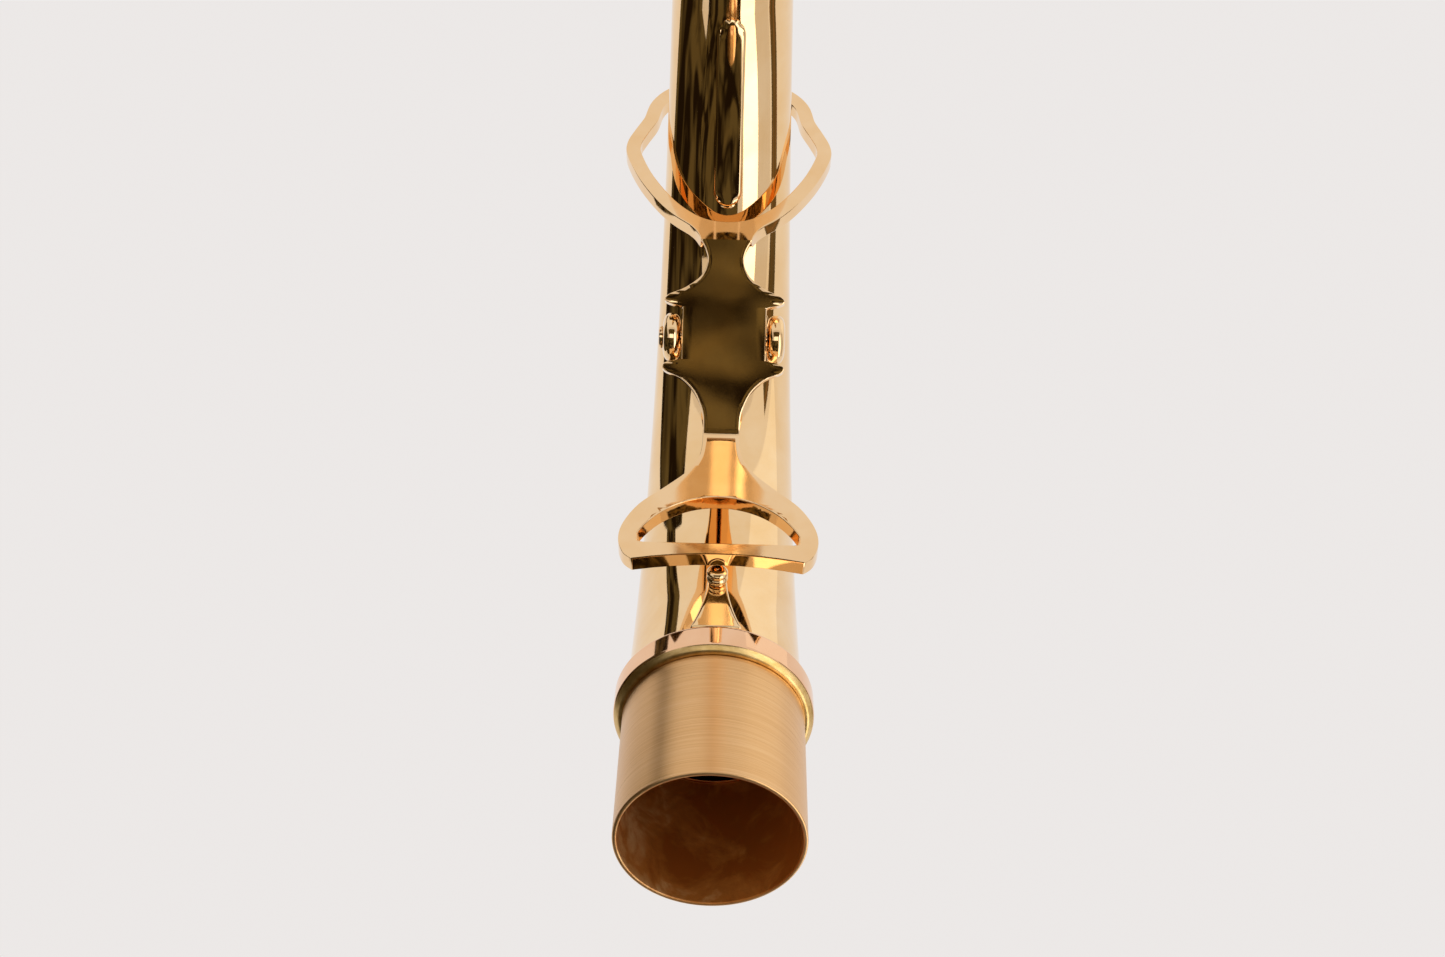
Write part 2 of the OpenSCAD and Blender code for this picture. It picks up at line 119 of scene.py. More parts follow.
def offTube(s, h):
    return centre(s) + under(s) * (radiusAt(s) + h)


# modelling helpers
def deselect():
    if bpy.context.object and bpy.context.object.mode != "OBJECT":
        bpy.ops.object.mode_set(mode="OBJECT")
    bpy.ops.object.select_all(action="DESELECT")


def only(obj):
    deselect()
    obj.select_set(True)
    bpy.context.view_layer.objects.active = obj


def named(name):
    obj = bpy.context.object
    obj.name = name
    obj.data.name = name
    return obj


def edit(obj, selectAll=True):
    only(obj)
    bpy.ops.object.mode_set(mode="EDIT")
    bpy.ops.mesh.select_mode(type="VERT")
    bpy.ops.mesh.select_all(action="SELECT" if selectAll else "DESELECT")


def toObject():
    bpy.ops.object.mode_set(mode="OBJECT")


def pickVerts(obj, test):
    edit(obj, selectAll=False)
    toObject()
    for v in obj.data.vertices:
        v.select = bool(test(v.co))
    bpy.ops.object.mode_set(mode="EDIT")


def turnAbout(angle, about, at):
    # with no window the rotate operator turns the other way
    bpy.ops.transform.rotate(value=-angle, orient_axis=about, center_override=at)


def grow(k, at, axes=(1, 1, 1)):
    bpy.ops.transform.resize(value=[k if a else 1 for a in axes], center_override=at)


def pull(step):
    bpy.ops.mesh.extrude_region_move(TRANSFORM_OT_translate={"value": step})


def applyAll(obj):
    only(obj)
    for m in list(obj.modifiers):
        bpy.ops.object.modifier_apply(modifier=m.name)


def setPlace(obj, at=(0, 0, 0), turn=(0, 0, 0)):
    only(obj)
    obj.location = at
    obj.rotation_euler = turn
    bpy.ops.object.transform_apply(location=True, rotation=True, scale=True)


def mergeAndFace(obj, reach=0.000004):
    edit(obj)
    bpy.ops.mesh.remove_doubles(threshold=reach)
    bpy.ops.mesh.normals_make_consistent(inside=False)
    toObject()


def thicken(obj, wall, offset=-1.0, inner=0):
    m = obj.modifiers.new("wall", "SOLIDIFY")
    m.thickness = wall
    m.offset = offset
    m.material_offset = inner
    applyAll(obj)


def roundEdges(obj, width, segments=2, angle=40):
    m = obj.modifiers.new("edges", "BEVEL")
    m.width = width
    m.segments = segments
    m.limit_method = "ANGLE"
    m.angle_limit = radians(angle)
    applyAll(obj)


def smooth(obj, angle=32, weighted=False):
    only(obj)
    bpy.ops.object.shade_smooth_by_angle(angle=radians(angle))
    if weighted:
        m = obj.modifiers.new("normals", "WEIGHTED_NORMAL")
        m.keep_sharp = True
        m.weight = 80
        applyAll(obj)


def joined(pieces, name):
    only(pieces[0])
    for p in pieces[1:]:
        p.select_set(True)
    bpy.ops.object.join()
    return named(name)


def cutWith(obj, cutter):
    m = obj.modifiers.new("cut", "BOOLEAN")
    m.object = cutter
    m.operation = "DIFFERENCE"
    m.solver = "EXACT"
    applyAll(obj)
    only(cutter)
    bpy.ops.object.delete()


def softened(points, radius, steps=4):
    # rounds the corners of a closed outline
    most = 0.45  # share of a side that one corner may take
    out = []
    n = len(points)
    for i in range(n):
        p, q, r = (Vector(points[(i + k) % n]) for k in (-1, 0, 1))
        a = q + (p - q).normalized() * min(radius, (p - q).length * most)
        b = q + (r - q).normalized() * min(radius, (r - q).length * most)
        for k in range(steps + 1):
            t = k / steps
            out.append(tuple(a * (1 - t) ** 2 + q * 2 * t * (1 - t) + b * t * t))
    return out


def lathed(name, profile, sides=96):
    # a circle pulled and resized through the closed outline's (radius, height) points
    deselect()
    points = [(max(r, leastRadius), z) for r, z in profile]
    points.append(points[0])
    bpy.ops.mesh.primitive_circle_add(vertices=sides, radius=points[0][0], fill_type="NOTHING")
    obj = named(name)
    edit(obj)
    bpy.ops.transform.translate(value=(0, 0, points[0][1]))
    for (r0, z0), (r1, z1) in zip(points, points[1:]):
        pull((0, 0, z1 - z0))
        grow(r1 / r0, (0, 0, z1), (1, 1, 0))
    toObject()
    mergeAndFace(obj, reach=0.000002)
    return obj


def sweptTube(name, stations, sides):
    # a circle pulled, turned and resized along the neck
    deselect()
    first = stations[0]
    bpy.ops.mesh.primitive_circle_add(vertices=sides, radius=radiusAt(first), fill_type="NOTHING")
    obj = named(name)
    edit(obj)
    turnAbout(turned(first), "Y", (0, 0, 0))
    bpy.ops.transform.translate(value=centre(first))
    for s0, s1 in zip(stations, stations[1:]):
        pull(centre(s1) - centre(s0))
        turnAbout(turned(s1) - turned(s0), "Y", centre(s1))
        grow(radiusAt(s1) / radiusAt(s0), centre(s1))
    toObject()
    mergeAndFace(obj, reach=0.000001)
    return obj


def strip(name, rows, across=4):
    # an edge pulled through rows of (middle, half width), each row lying along Y
    deselect()
    bpy.ops.mesh.primitive_grid_add(x_subdivisions=1, y_subdivisions=across, size=2)
    obj = named(name)
    # the grid's two sides become the first two rows
    for side, (middle, half) in zip((-1, 1), rows[:2]):
        pickVerts(obj, lambda co: co.x * side > 0.5 and abs(co.z) < 1e-9)
        bpy.ops.transform.translate(value=Vector(middle) + Vector((-side, 0, 0)))
        grow(half, middle, (0, 1, 0))
    middle = Vector(rows[1][0])
    pickVerts(obj, lambda co: (Vector((co.x, 0, co.z)) - middle).length < 1e-7)
    for (m0, h0), (m1, h1) in zip(rows[1:], rows[2:]):
        pull(Vector(m1) - Vector(m0))
        grow(h1 / h0, m1, (0, 1, 0))
    toObject()
    return obj


def faceToward(obj, direction, at=None):
    # turns the faces round if the face nearest to a place looks the wrong way
    face = obj.data.polygons[0] if at is None else min(
        obj.data.polygons, key=lambda p: (p.center - Vector(at)).length)
    if face.normal.dot(Vector(direction)) < 0:
        edit(obj)
        bpy.ops.mesh.flip_normals()
        toObject()


def curveThrough(points, steps=6):
    # a smooth line through a few points, with the last one kept
    out = []
    n = len(points)
    for i in range(n - 1):
        a, b, c, d = (Vector(points[max(0, min(n - 1, i + k))]) for k in (-1, 0, 1, 2))
        for j in range(steps):
            t = j / steps
            out.append(0.5 * (2 * b + (c - a) * t + (2 * a - 5 * b + 4 * c - d) * t * t
                              + (3 * b - a - 3 * c + d) * t ** 3))
    out.append(Vector(points[-1]))
    return out


def patch(name, start, end, halfAt, target, lift, wall, side=1, rows=24, across=8, edge=0.00012, rim=0.0):
    # a thin plate that follows the tube: side 1 lies underneath, side -1 on top
    p = {"above": 0.002, "pillow": ((0.45, 0.55), (0.55, 0.28)), "pillowWall": 0.17, "pillowAngle": 60}
    places = [start + (end - start) * (1 - cos(pi * i / rows)) / 2 for i in range(rows + 1)]
    line = [(centre(s) + under(s) * side * (radiusAt(s) + p["above"]), halfAt(s)) for s in places]
    obj = strip(name, line, across)
    m = obj.modifiers.new("onTube", "SHRINKWRAP")
    m.target = target
    m.wrap_method = "NEAREST_SURFACEPOINT"
    m.wrap_mode = "OUTSIDE_SURFACE"
    m.offset = lift
    applyAll(obj)
    faceToward(obj, under((start + end) / 2) * side)
    if rim:
        # a pillowed face: the middle raised in two steps from a sloping rim
        edit(obj)
        bpy.ops.mesh.select_mode(type="FACE")
        for share, rise in p["pillow"]:
            bpy.ops.mesh.inset(thickness=rim * share, use_even_offset=True, use_boundary=True)
            bpy.ops.transform.shrink_fatten(value=wall * rise)
        toObject()
        thicken(obj, wall * p["pillowWall"])
        smooth(obj, p["pillowAngle"])
        return obj
    thicken(obj, wall, offset=1.0)
    mergeAndFace(obj, reach=0.000001)
    roundEdges(obj, edge)
    smooth(obj, 30, weighted=True)
    return obj


def capsule(start, end, half):
    # half width of a plate with round ends, which never shrinks to nothing
    def halfAt(s):
        into = max(0.0, start + half - s, s - end + half)
        return sqrt(max(half * half * 0.01, half * half - into ** 2))

    return halfAt


# tube of the neck, from inside the collar to the mouthpiece end
def makeTube():
    p = {"bendSteps": 84, "tipSteps": 14, "sides": 144, "rim": 0.00015, "rimAngle": 60, "smoothAngle": 40}
    stations = [-collarHigh.z + neck["gap"], 0.0, neck["straight"] / 2]
    stations += [neck["straight"] + bendLength * i / p["bendSteps"] for i in range(p["bendSteps"] + 1)]
    stations += [bendEnd + neck["tip"] * (i + 1) / p["tipSteps"] for i in range(p["tipSteps"])]
    obj = sweptTube("neckTube", stations, sides=p["sides"])
    faceToward(obj, under(neckLength / 3), offTube(neckLength / 3, 0))
    thicken(obj, neck["wall"], inner=1)
    roundEdges(obj, p["rim"], angle=p["rimAngle"])
    smooth(obj, p["smoothAngle"])
    return obj


def lathedSoft(name, outline, radius, sides):
    obj = lathed(name, softened(outline, radius), sides)
    smooth(obj, weighted=True)
    return obj


# sleeve that goes into the instrument, with a soft rim at its mouth
def makeSleeve():
    p = {"wall": 0.0006, "mouth": 0.00022, "endLoop": 0.004, "midLoop": 0.010, "innerLoop": 0.006,
         "sides": 160}
    low, high, r = sleeveLow.z, sleeveHigh.z, tenonRadius
    inner = r - p["wall"]
    outline = [(inner, low), (r, low), (r, low + p["endLoop"]), (r, low + p["midLoop"]),
               (r, high - p["endLoop"]), (r, high), (inner, high), (inner, high - p["innerLoop"]),
               (inner, low + p["innerLoop"])]
    return lathedSoft("tenonSleeve", outline, p["mouth"], p["sides"])


# collar between the sleeve and the tube
def makeCollar():
    p = {"edge": 0.00045, "chamfer": 0.00075, "seat": 0.00001, "softness": 0.6, "sides": 160}
    inner = tubeRadius + neck["gap"]
    outer = collarHigh.x
    top = collarHigh.z
    outline = [(inner, p["seat"]), (outer - p["chamfer"], p["seat"]), (outer, p["chamfer"]),
               (outer, top - p["edge"]), (outer - p["edge"], top), (inner, top)]
    return lathedSoft("collarRing", outline, p["edge"] * p["softness"], p["sides"])


# rings and cork of the mouthpiece end, each following the tube's taper inside
def makeTipPieces():
    p = {"ring": 0.002, "ferrule": 0.003, "band": 0.0007, "edge": 0.00025, "corkEdge": 0.0009,
         "corkTaper": 0.0001, "corkSteps": 6, "loops": 6, "sides": 128}
    end = neckLength - p["ring"]
    start = end - corkLength

    def band(name, a, b, outerA, outerB, edge, steps=4):
        innerA, innerB = radiusAt(a) + neck["gap"], radiusAt(b) + neck["gap"]
        n = p["loops"]
        outline = [(innerA, 0), (outerA, 0)]
        outline += [(outerA + (outerB - outerA) * i / n, (b - a) * i / n) for i in range(1, n)]
        outline += [(outerB, b - a), (innerB, b - a)]
        obj = lathed(name, softened(outline, edge, steps), p["sides"])
        setPlace(obj, centre(a), (0, neck["bendAngle"], 0))
        smooth(obj, weighted=True)
        return obj

    root = start - p["ferrule"]
    rootRadius, startRadius = radiusAt(root) + p["band"], radiusAt(start) + p["band"]
    ferrule = band("corkFerrule", root, start, rootRadius, startRadius, p["edge"])
    endRadius = corkRadius - p["corkTaper"]
    cork = band("neckCork", start, end, corkRadius, endRadius, p["corkEdge"], p["corkSteps"])
    ringRadius = neck["tipRadius"] + p["band"]
    ring = band("tipRing", end, neckLength, ringRadius, ringRadius, p["edge"])
    return ferrule, cork, ring


# thin plates brazed to the tube
def makePlates(tube):
    gap = neck["gap"]
    brace = {"start": 0.085, "length": 0.033, "half": 0.0025, "wall": 0.0005, "lift": 0.00012, "rows": 40,
             "rim": 0.00042}
    stop = brace["start"] + brace["length"]
    braceHalf = capsule(brace["start"], stop, brace["half"])
    bracePlate = patch("bracePlate", brace["start"], stop, braceHalf, tube, brace["lift"], brace["wall"],
                       rows=brace["rows"], rim=brace["rim"])

    vent = {"half": 0.0045, "wall": 0.0008, "rows": 28, "across": 16}
    low, high = ventAt - vent["half"], ventAt + vent["half"]
    ventHalf = capsule(low, high, vent["half"])
    ventPlate = patch("ventSaddle", low, high, ventHalf, tube, gap, vent["wall"], side=-1,
                      rows=vent["rows"], across=vent["across"])

    rest = {"half": 0.0017, "length": 0.003, "wall": 0.00115, "edge": 0.0002, "rows": 6, "across": 6}
    low, high = springRestAt - rest["length"] / 2, springRestAt + rest["length"] / 2
    springRest = patch("springRest", low, high, lambda s: rest["half"], tube, gap, rest["wall"],
                       rows=rest["rows"], across=rest["across"], edge=rest["edge"])

    saddle = {"length": 0.013, "half": 0.0091, "wall": 0.00075, "corner": 0.0018, "across": 28}
    a, b = hingeStation() - saddle["length"] / 2, hingeStation() + saddle["length"] / 2

    def saddleHalf(s):
        corner = saddle["corner"]
        into = max(0.0, a + corner - s, s - b + corner)
        return saddle["half"] - corner + sqrt(max(0.0, corner * corner - into * into))

    hingePlate = patch("hingeSaddle", a, b, saddleHalf, tube, gap, saddle["wall"], across=saddle["across"])
    return bracePlate, ventPlate, springRest, hingePlate


def hingeStation():
    rise = atan2(hingeAt.z - collarHigh.z - neck["straight"], neck["bendRadius"] - hingeAt.x)
    return neck["straight"] + neck["bendRadius"] * rise


# hinge posts: a domed head for the screw on a turned stem
def makePosts():
    p = {"head": 0.0035, "thick": 0.0026, "inner": 0.0062, "bore": 0.00103, "stem": 0.00095, "foot": 0.0017,
         "intoTube": 0.0006, "footHigh": 0.0008, "headSoft": 0.0004, "stemSoft": 0.0003, "headSides": 72,
         "stemSides": 48}
    s = hingeStation()
    down = -under(s)
    drop = (hingeAt - centre(s)).length - radiusAt(s) - p["intoTube"]
    half, r, stemRadius = p["thick"] / 2, p["head"], p["stem"]
    dome = [(p["bore"], -half), (r * 0.6, -half), (r * 0.86, -half * 0.82), (r, -half * 0.42),
            (r, half * 0.42), (r * 0.86, half * 0.82), (r * 0.6, half), (p["bore"], half)]
    turning = [(axis, r * 0.5), (stemRadius * 1.25, r * 0.55), (stemRadius * 1.2, r * 0.98),
               (stemRadius, r + 0.0004), (stemRadius, drop - p["footHigh"]), (p["foot"], drop), (axis, drop)]
    posts = []
    for name, side in (("hingePostLeft", 1), ("hingePostRight", -1)):
        at = hingeAt + Vector((0, side * (p["inner"] + half), 0))
        head = lathed(name, softened(dome, p["headSoft"], 3), p["headSides"])
        setPlace(head, at, (radians(90), 0, 0))
        stem = lathed(name + "Stem", softened(turning, p["stemSoft"], 3), p["stemSides"])
        setPlace(stem, at, (0, atan2(down.x, down.z), 0))
        post = joined([head, stem], name)
        smooth(post, weighted=True)
        posts.append(post)
    return posts


# axle with a slotted head
def makeScrew():
    p = {"r": 0.00098, "reach": 0.0088, "head": 0.0016, "headHigh": 0.0005, "slot": 0.0004,
         "slotLength": 0.01, "slotTurn": radians(24), "soft": 0.00012, "sides": 48}
    z = p["reach"] + slack
    top = z + p["headHigh"]
    outline = [(axis, -p["reach"]), (p["r"], -p["reach"]), (p["r"], z), (p["head"], z), (p["head"], top),
               (axis, top)]
    screw = lathed("hingeScrew", softened(outline, p["soft"], 3), p["sides"])
    bpy.ops.mesh.primitive_cube_add(size=1, location=(0, 0, top))
    cutter = named("slotCutter")
    cutter.scale = (p["slotLength"], p["slot"], p["headHigh"])
    cutWith(screw, cutter)
    setPlace(screw, hingeAt, (radians(90), p["slotTurn"], 0))
    smooth(screw, weighted=True)
    return screw


# barrel of the key, which turns on the screw
def makeHingeTube():
    p = {"r": 0.002, "bore": 0.00103, "half": 0.0061, "edge": 0.0002, "sides": 72}
    outline = [(p["bore"], -p["half"]), (p["r"], -p["half"]), (p["r"], p["half"]), (p["bore"], p["half"])]
    barrel = lathed("hingeTube", softened(outline, p["edge"], 3), p["sides"])
    setPlace(barrel, hingeAt, (radians(90), 0, 0))
    smooth(barrel, weighted=True)
    return barrel


# small pipe under the pad, with its plate already on the tube
def makeVent():
    p = {"bore": 0.0012, "r": 0.0025, "neck": 0.0024, "high": 0.004, "foot": 0.0016, "lip": 0.0017,
         "shoulder": 0.0006, "neckFrom": 0.0014, "cone": 0.0013, "soft": 0.0002, "sides": 72}
    outline = [(p["bore"], -p["foot"]), (p["r"], -p["foot"]), (p["r"], p["shoulder"]),
               (p["neck"], p["neckFrom"]), (p["neck"], p["high"] - p["cone"]), (p["lip"], p["high"]),
               (p["bore"], p["high"])]
    vent = lathed("octaveVent", softened(outline, p["soft"], 3), p["sides"])
    placeOnTop(vent, ventAt)
    smooth(vent, weighted=True)
    return vent


def placeOnTop(obj, s):
    # the object's own Z ends up pointing away from the tube's upper side
    up = -under(s)
    setPlace(obj, centre(s) + up * radiusAt(s), (0, atan2(up.x, up.z), 0))


# post under the touch: a tapered foot, a round stem and a grooved button
def makeStop():
    p = {"at": 0.0085, "stem": 0.0012, "intoTube": 0.0004, "stemSoft": 0.0001, "stemSides": 56, "top": 0.0041}
    knob = {"r": 0.00145, "high": 0.0019, "low": 0.0003, "grooveLow": 0.0007, "grooveIn": 0.00085,
            "grooveOut": 0.00105, "grooveHigh": 0.0012, "brim": 0.0003, "soft": 0.00016, "sides": 72}
    r = radiusAt(p["at"])
    top, base = r + p["top"], r + p["top"] - knob["high"]
    wide, narrow = knob["r"], knob["r"] * 0.9
    outline = [(axis, base + slack), (narrow, base + slack), (wide, base + knob["low"]),
               (wide, base + knob["grooveLow"]), (narrow, base + knob["grooveIn"]),
               (narrow, base + knob["grooveOut"]), (wide, base + knob["grooveHigh"]),
               (wide, top - knob["brim"]), (wide * 0.72, top), (axis, top)]
    button = lathed("stopButton", softened(outline, knob["soft"], 3), knob["sides"])
    setPlace(button, centre(p["at"]), (0, radians(90), 0))
    smooth(button, 36, weighted=True)

    low = r - p["intoTube"]
    outline = [(axis, low), (p["stem"], low), (p["stem"], base - slack), (axis, base - slack)]
    stem = lathed("stopStem", softened(outline, p["stemSoft"], 2), p["stemSides"])
    setPlace(stem, centre(p["at"]), (0, radians(90), 0))

    # the foot flares down to the collar and leans out to the button
    flare = {"half": 0.0035, "tipHalf": 0.00135, "out": 0.0010, "deep": 0.0016, "above": 0.0002,
             "edge": 0.0004, "lean": 1.3, "narrowing": 1.7, "rows": 12, "across": 6}
    low, high = collarHigh.z + neck["gap"], collarHigh.z + p["at"] + flare["above"]
    rows = []
    for i in range(flare["rows"] + 1):
        t = i / flare["rows"]
        out = flare["out"] + (base - tubeRadius - flare["out"]) * t ** flare["lean"]
        half = flare["tipHalf"] + (flare["half"] - flare["tipHalf"]) * (1 - t) ** flare["narrowing"]
        rows.append(((tubeRadius + out, 0, low + (high - low) * t), half))
    foot = strip("stopFoot", rows, flare["across"])
    faceToward(foot, (1, 0, 0))
    thicken(foot, flare["deep"])
    roundEdges(foot, flare["edge"], 4)
    post = joined([foot, stem], "stopPost")
    smooth(post, 36, weighted=True)
    return post, button


# the key's outer face is three flats: the touch, the plate and the ring
key = {
    "high": 0.007,            # height of the flats' ends above the tube
    "gap": 0.0082, "crease": 0.039, "ring": 0.080,   # where the flats end along the neck
    "ringSide": 0.0915,       # where the ring passes the tube's sides
    "touchWall": 0.0025, "plateWall": 0.0016, "ringWall": 0.0022,
    "half": 0.0135, "waist": 0.0026,
    "sideGap": 0.0039, "endGap": 0.0052,             # between the ring and the tube
    "band": 0.0022,           # width of the ring's band
    "hinge": 0.52,            # share of the plate's length
}
touchAt, creaseAt, ringAt = (offTube(key[k], key["high"]) for k in ("gap", "crease", "ring"))
ringMid = centre(key["ringSide"])


def slopeOf(a, b):
    return atan2(b.z - a.z, b.x - a.x)


touchSlope, plateSlope = slopeOf(touchAt, creaseAt), slopeOf(creaseAt, ringAt)
ringSlope = slopeOf(ringAt, ringMid)
touchLength, plateLength = (creaseAt - touchAt).length, (ringAt - creaseAt).length


def facePoint(at, slope, u, depth=0.0):
    return at + Vector((cos(slope), 0, sin(slope))) * u + Vector((-sin(slope), 0, cos(slope))) * depth


ringRise = (ringMid - ringAt).length
ringTilt = pi - turned(key["ringSide"]) - ringSlope
ringHalfLength = radiusAt(key["ringSide"]) / cos(ringTilt) + key["endGap"]
ringHalfWidth = radiusAt(key["ringSide"]) + key["sideGap"]


def makeKey():
    mm = 0.001
    p = {"fold": 1.0, "foldRows": 5, "bowTo": 2.4, "bowShare": 1 / 3, "bowSteps": 4, "hingeHalf": 3.8,
         "postHalf": 6.2, "tabOut": 2.2, "across": 8}
    t, w, n = touchLength / mm, key["waist"] / mm, plateLength / mm
    half = key["half"] / mm
    touchSide = [(-1.2, half - 2), (0, half - 0.7), (2.4, half), (5.2, half - 0.5), (8.6, half - 2.5),
                 (11.6, half - 5.7), (14.6, half - 8.7), (t - 4, w + 0.5), (t - 1.2, w)]
    hinge = key["hinge"] * n
    lower, upper, post = hinge - p["hingeHalf"], hinge + p["hingeHalf"], p["postHalf"]
    tab = post + p["tabOut"]
    below = [(1.2, w), (lower - 7.6, w + 0.2), (lower - 4.8, w + 1.4), (lower - 2.8, w + 3.4),
             (lower - 1.7, tab), (lower - 0.6, tab), (lower, post - 0.2)]
    above = [(upper, post - 0.2), (upper + 0.7, tab), (upper + 1.7, tab - 0.2), (upper + 2.8, w + 3.2),
             (upper + 4.6, w + 0.9), (upper + 6.6, w), (n - 1.6, w + 0.3), (n, w + 1.1)]

    # the touch's end is hollowed, less and less away from it
    rows, bows = [], []
    for v, h in curveThrough(touchSide, 5):
        bows.append(max(0.0, (p["bowTo"] - v) * p["bowShare"]) * mm)
        rows.append((facePoint(touchAt, touchSlope, v * mm + bows[-1]), h * mm))
    # the fold between touch and plate has a small radius
    soft = p["fold"] * mm
    a, c = facePoint(creaseAt, touchSlope, -soft), facePoint(creaseAt, plateSlope, soft)
    for i in range(p["foldRows"]):
        k = i / (p["foldRows"] - 1)
        rows.append((a * (1 - k) ** 2 + creaseAt * 2 * k * (1 - k) + c * k * k, w * mm))
    touchRows = len(rows) - (p["foldRows"] + 1) // 2
    for side in (below, above):
        rows += [(facePoint(creaseAt, plateSlope, v * mm), h * mm) for v, h in curveThrough(side, 4)]
    sheet = strip("octaveKey", rows, p["across"])
    for (middle, wide), bow in zip(rows, bows):
        if not bow:
            continue
        for i in range(p["bowSteps"]):
            level = (i + 1) / p["bowSteps"]
            pickVerts(sheet, lambda co: abs(abs(co.y) - level * wide) < 1e-6
                      and (Vector((co.x, 0, co.z)) - middle).length < 1e-5)
            bpy.ops.transform.translate(value=facePoint(Vector(), touchSlope, -bow * level ** 2))
    toObject()

    # ring: half of it pulled round as a band between its two outlines, then mirrored
    curve = [(-1, 0), (-0.98, 0.17), (-0.9, 0.36), (-0.71, 0.59), (-0.39, 0.83), (-0.08, 0.98), (0.07, 1),
             (0.24, 0.93), (0.44, 0.83), (0.68, 0.76), (0.86, 0.58), (0.97, 0.25), (1, 0)]
    inner = [Vector((ringRise + p[0] * ringHalfLength, p[1] * ringHalfWidth)) for p in curveThrough(curve, 5)]
    outer = []
    for i, p in enumerate(inner):
        q, r = inner[max(0, i - 1)], inner[min(len(inner) - 1, i + 1)]
        d = (r - q).normalized()
        if i in (0, len(inner) - 1):
            d = Vector((0, 1 if i == 0 else -1))
        outer.append(p + Vector((-d.y, d.x)) * key["band"])
    # the band's outer side starts along the plate's end and leaves it in a web
    end = above[-1][1]
    web = [(0, end * i / 4) for i in range(5)]
    web += [(0.75, w + 1.3), (1.4, w + 1.6), (2.0, w + 1.95), (2.5, w + 2.35), (3.05, w + 2.85)]
    outer[:len(web)] = [Vector((u * mm, y * mm)) for u, y in web]
    deselect()
    bpy.ops.mesh.primitive_grid_add(x_subdivisions=1, y_subdivisions=1, size=2)
    loop = named("keyRing")
    pickVerts(loop, lambda co: co.y > 0)
    bpy.ops.mesh.delete(type="VERT")
    bpy.ops.mesh.select_all(action="SELECT")

    def edgeOf(i):
        return (inner[i] + outer[i]) / 2, inner[i] - outer[i]

    mid, reach = edgeOf(0)
    bpy.ops.transform.resize(value=(reach.length / 2,) * 3, center_override=(0, -1, 0))
    bpy.ops.transform.translate(value=(mid.x, mid.y + 1, 0))
    turnAbout(atan2(reach.y, reach.x), "Z", (mid.x, mid.y, 0))
    for i in range(1, len(inner)):
        newMid, newReach = edgeOf(i)
        pull((newMid.x - mid.x, newMid.y - mid.y, 0))
        angle = atan2(newReach.y, newReach.x) - atan2(reach.y, reach.x)
        turnAbout((angle + pi) % (2 * pi) - pi, "Z", (newMid.x, newMid.y, 0))
        k = newReach.length / reach.length
        bpy.ops.transform.resize(value=(k, k, k), center_override=(newMid.x, newMid.y, 0))
        mid, reach = newMid, newReach
    toObject()
    m = loop.modifiers.new("mirror", "MIRROR")
    m.use_axis = (False, True, False)
    m.use_clip = True
    m.merge_threshold = 0.000005
    applyAll(loop)
    setPlace(loop, ringAt, (0, -ringSlope, 0))

    # the touch, the plate and the ring have walls of their own
    walls = sheet.vertex_groups.new(name="wall")
    for v in sheet.data.vertices:
        near = min(range(len(rows)), key=lambda i: (Vector((v.co.x, 0, v.co.z)) - rows[i][0]).length)
        walls.add([v.index], 1.0 if near < touchRows else key["plateWall"] / key["touchWall"], "REPLACE")
    ringWalls = loop.vertex_groups.new(name="wall")
    ringWalls.add([v.index for v in loop.data.vertices], key["ringWall"] / key["touchWall"], "REPLACE")
    whole = joined([sheet, loop], "octaveKey")
    mergeAndFace(whole, reach=0.00002)
    midPlate = facePoint(creaseAt, plateSlope, 0.5 * plateLength)
    faceToward(whole, (sin(plateSlope), 0, -cos(plateSlope)), midPlate)
    m = whole.modifiers.new("wall", "SOLIDIFY")
    m.thickness = key["touchWall"]
    m.offset = -1
    m.vertex_group = "wall"
    m.thickness_vertex_group = 0.0
    m.use_even_offset = True
    applyAll(whole)

    # half-moon slot through the touch
    slot = {"r": 12.2, "back": -2.1, "from": 1.9, "half": 10.9, "deep": 12, "corner": 0.5, "sides": 128}
    deselect()
    bpy.ops.mesh.primitive_cylinder_add(vertices=slot["sides"], radius=slot["r"] * mm,
                                        depth=slot["deep"] * mm, location=(slot["back"] * mm, 0, 0))
    cutter = named("slotCutter")
    setPlace(cutter, cutter.location)
    low, wide = slot["from"] * mm, slot["half"] * mm
    for at, normal in (((low, 0, 0), (1, 0, 0)), ((0, wide, 0), (0, -1, 0)), ((0, -wide, 0), (0, 1, 0))):
        edit(cutter)
        bpy.ops.mesh.bisect(plane_co=at, plane_no=normal, use_fill=True, clear_inner=True)
        toObject()
    roundEdges(cutter, slot["corner"] * mm, 4, 60)
    setPlace(cutter, touchAt, (0, -touchSlope, 0))
    cutWith(whole, cutter)

    edge = {"width": 0.00017, "angle": 48, "merge": 0.00003, "mergeAfter": 0.000003}
    mergeAndFace(whole, reach=edge["merge"])
    m = whole.modifiers.new("edges", "BEVEL")
    m.width = edge["width"]
    m.segments = 2
    m.limit_method = "ANGLE"
    m.angle_limit = radians(edge["angle"])
    m.use_clamp_overlap = False
    applyAll(whole)
    mergeAndFace(whole, reach=edge["mergeAfter"])
    smooth(whole, 30, weighted=True)
    return whole


# point over the vent: x along the tube from the vent's axis, h above the tube
def overVent(x, h):
    return centre(ventAt) - under(ventAt) * (radiusAt(ventAt) + h) + along(ventAt) * x


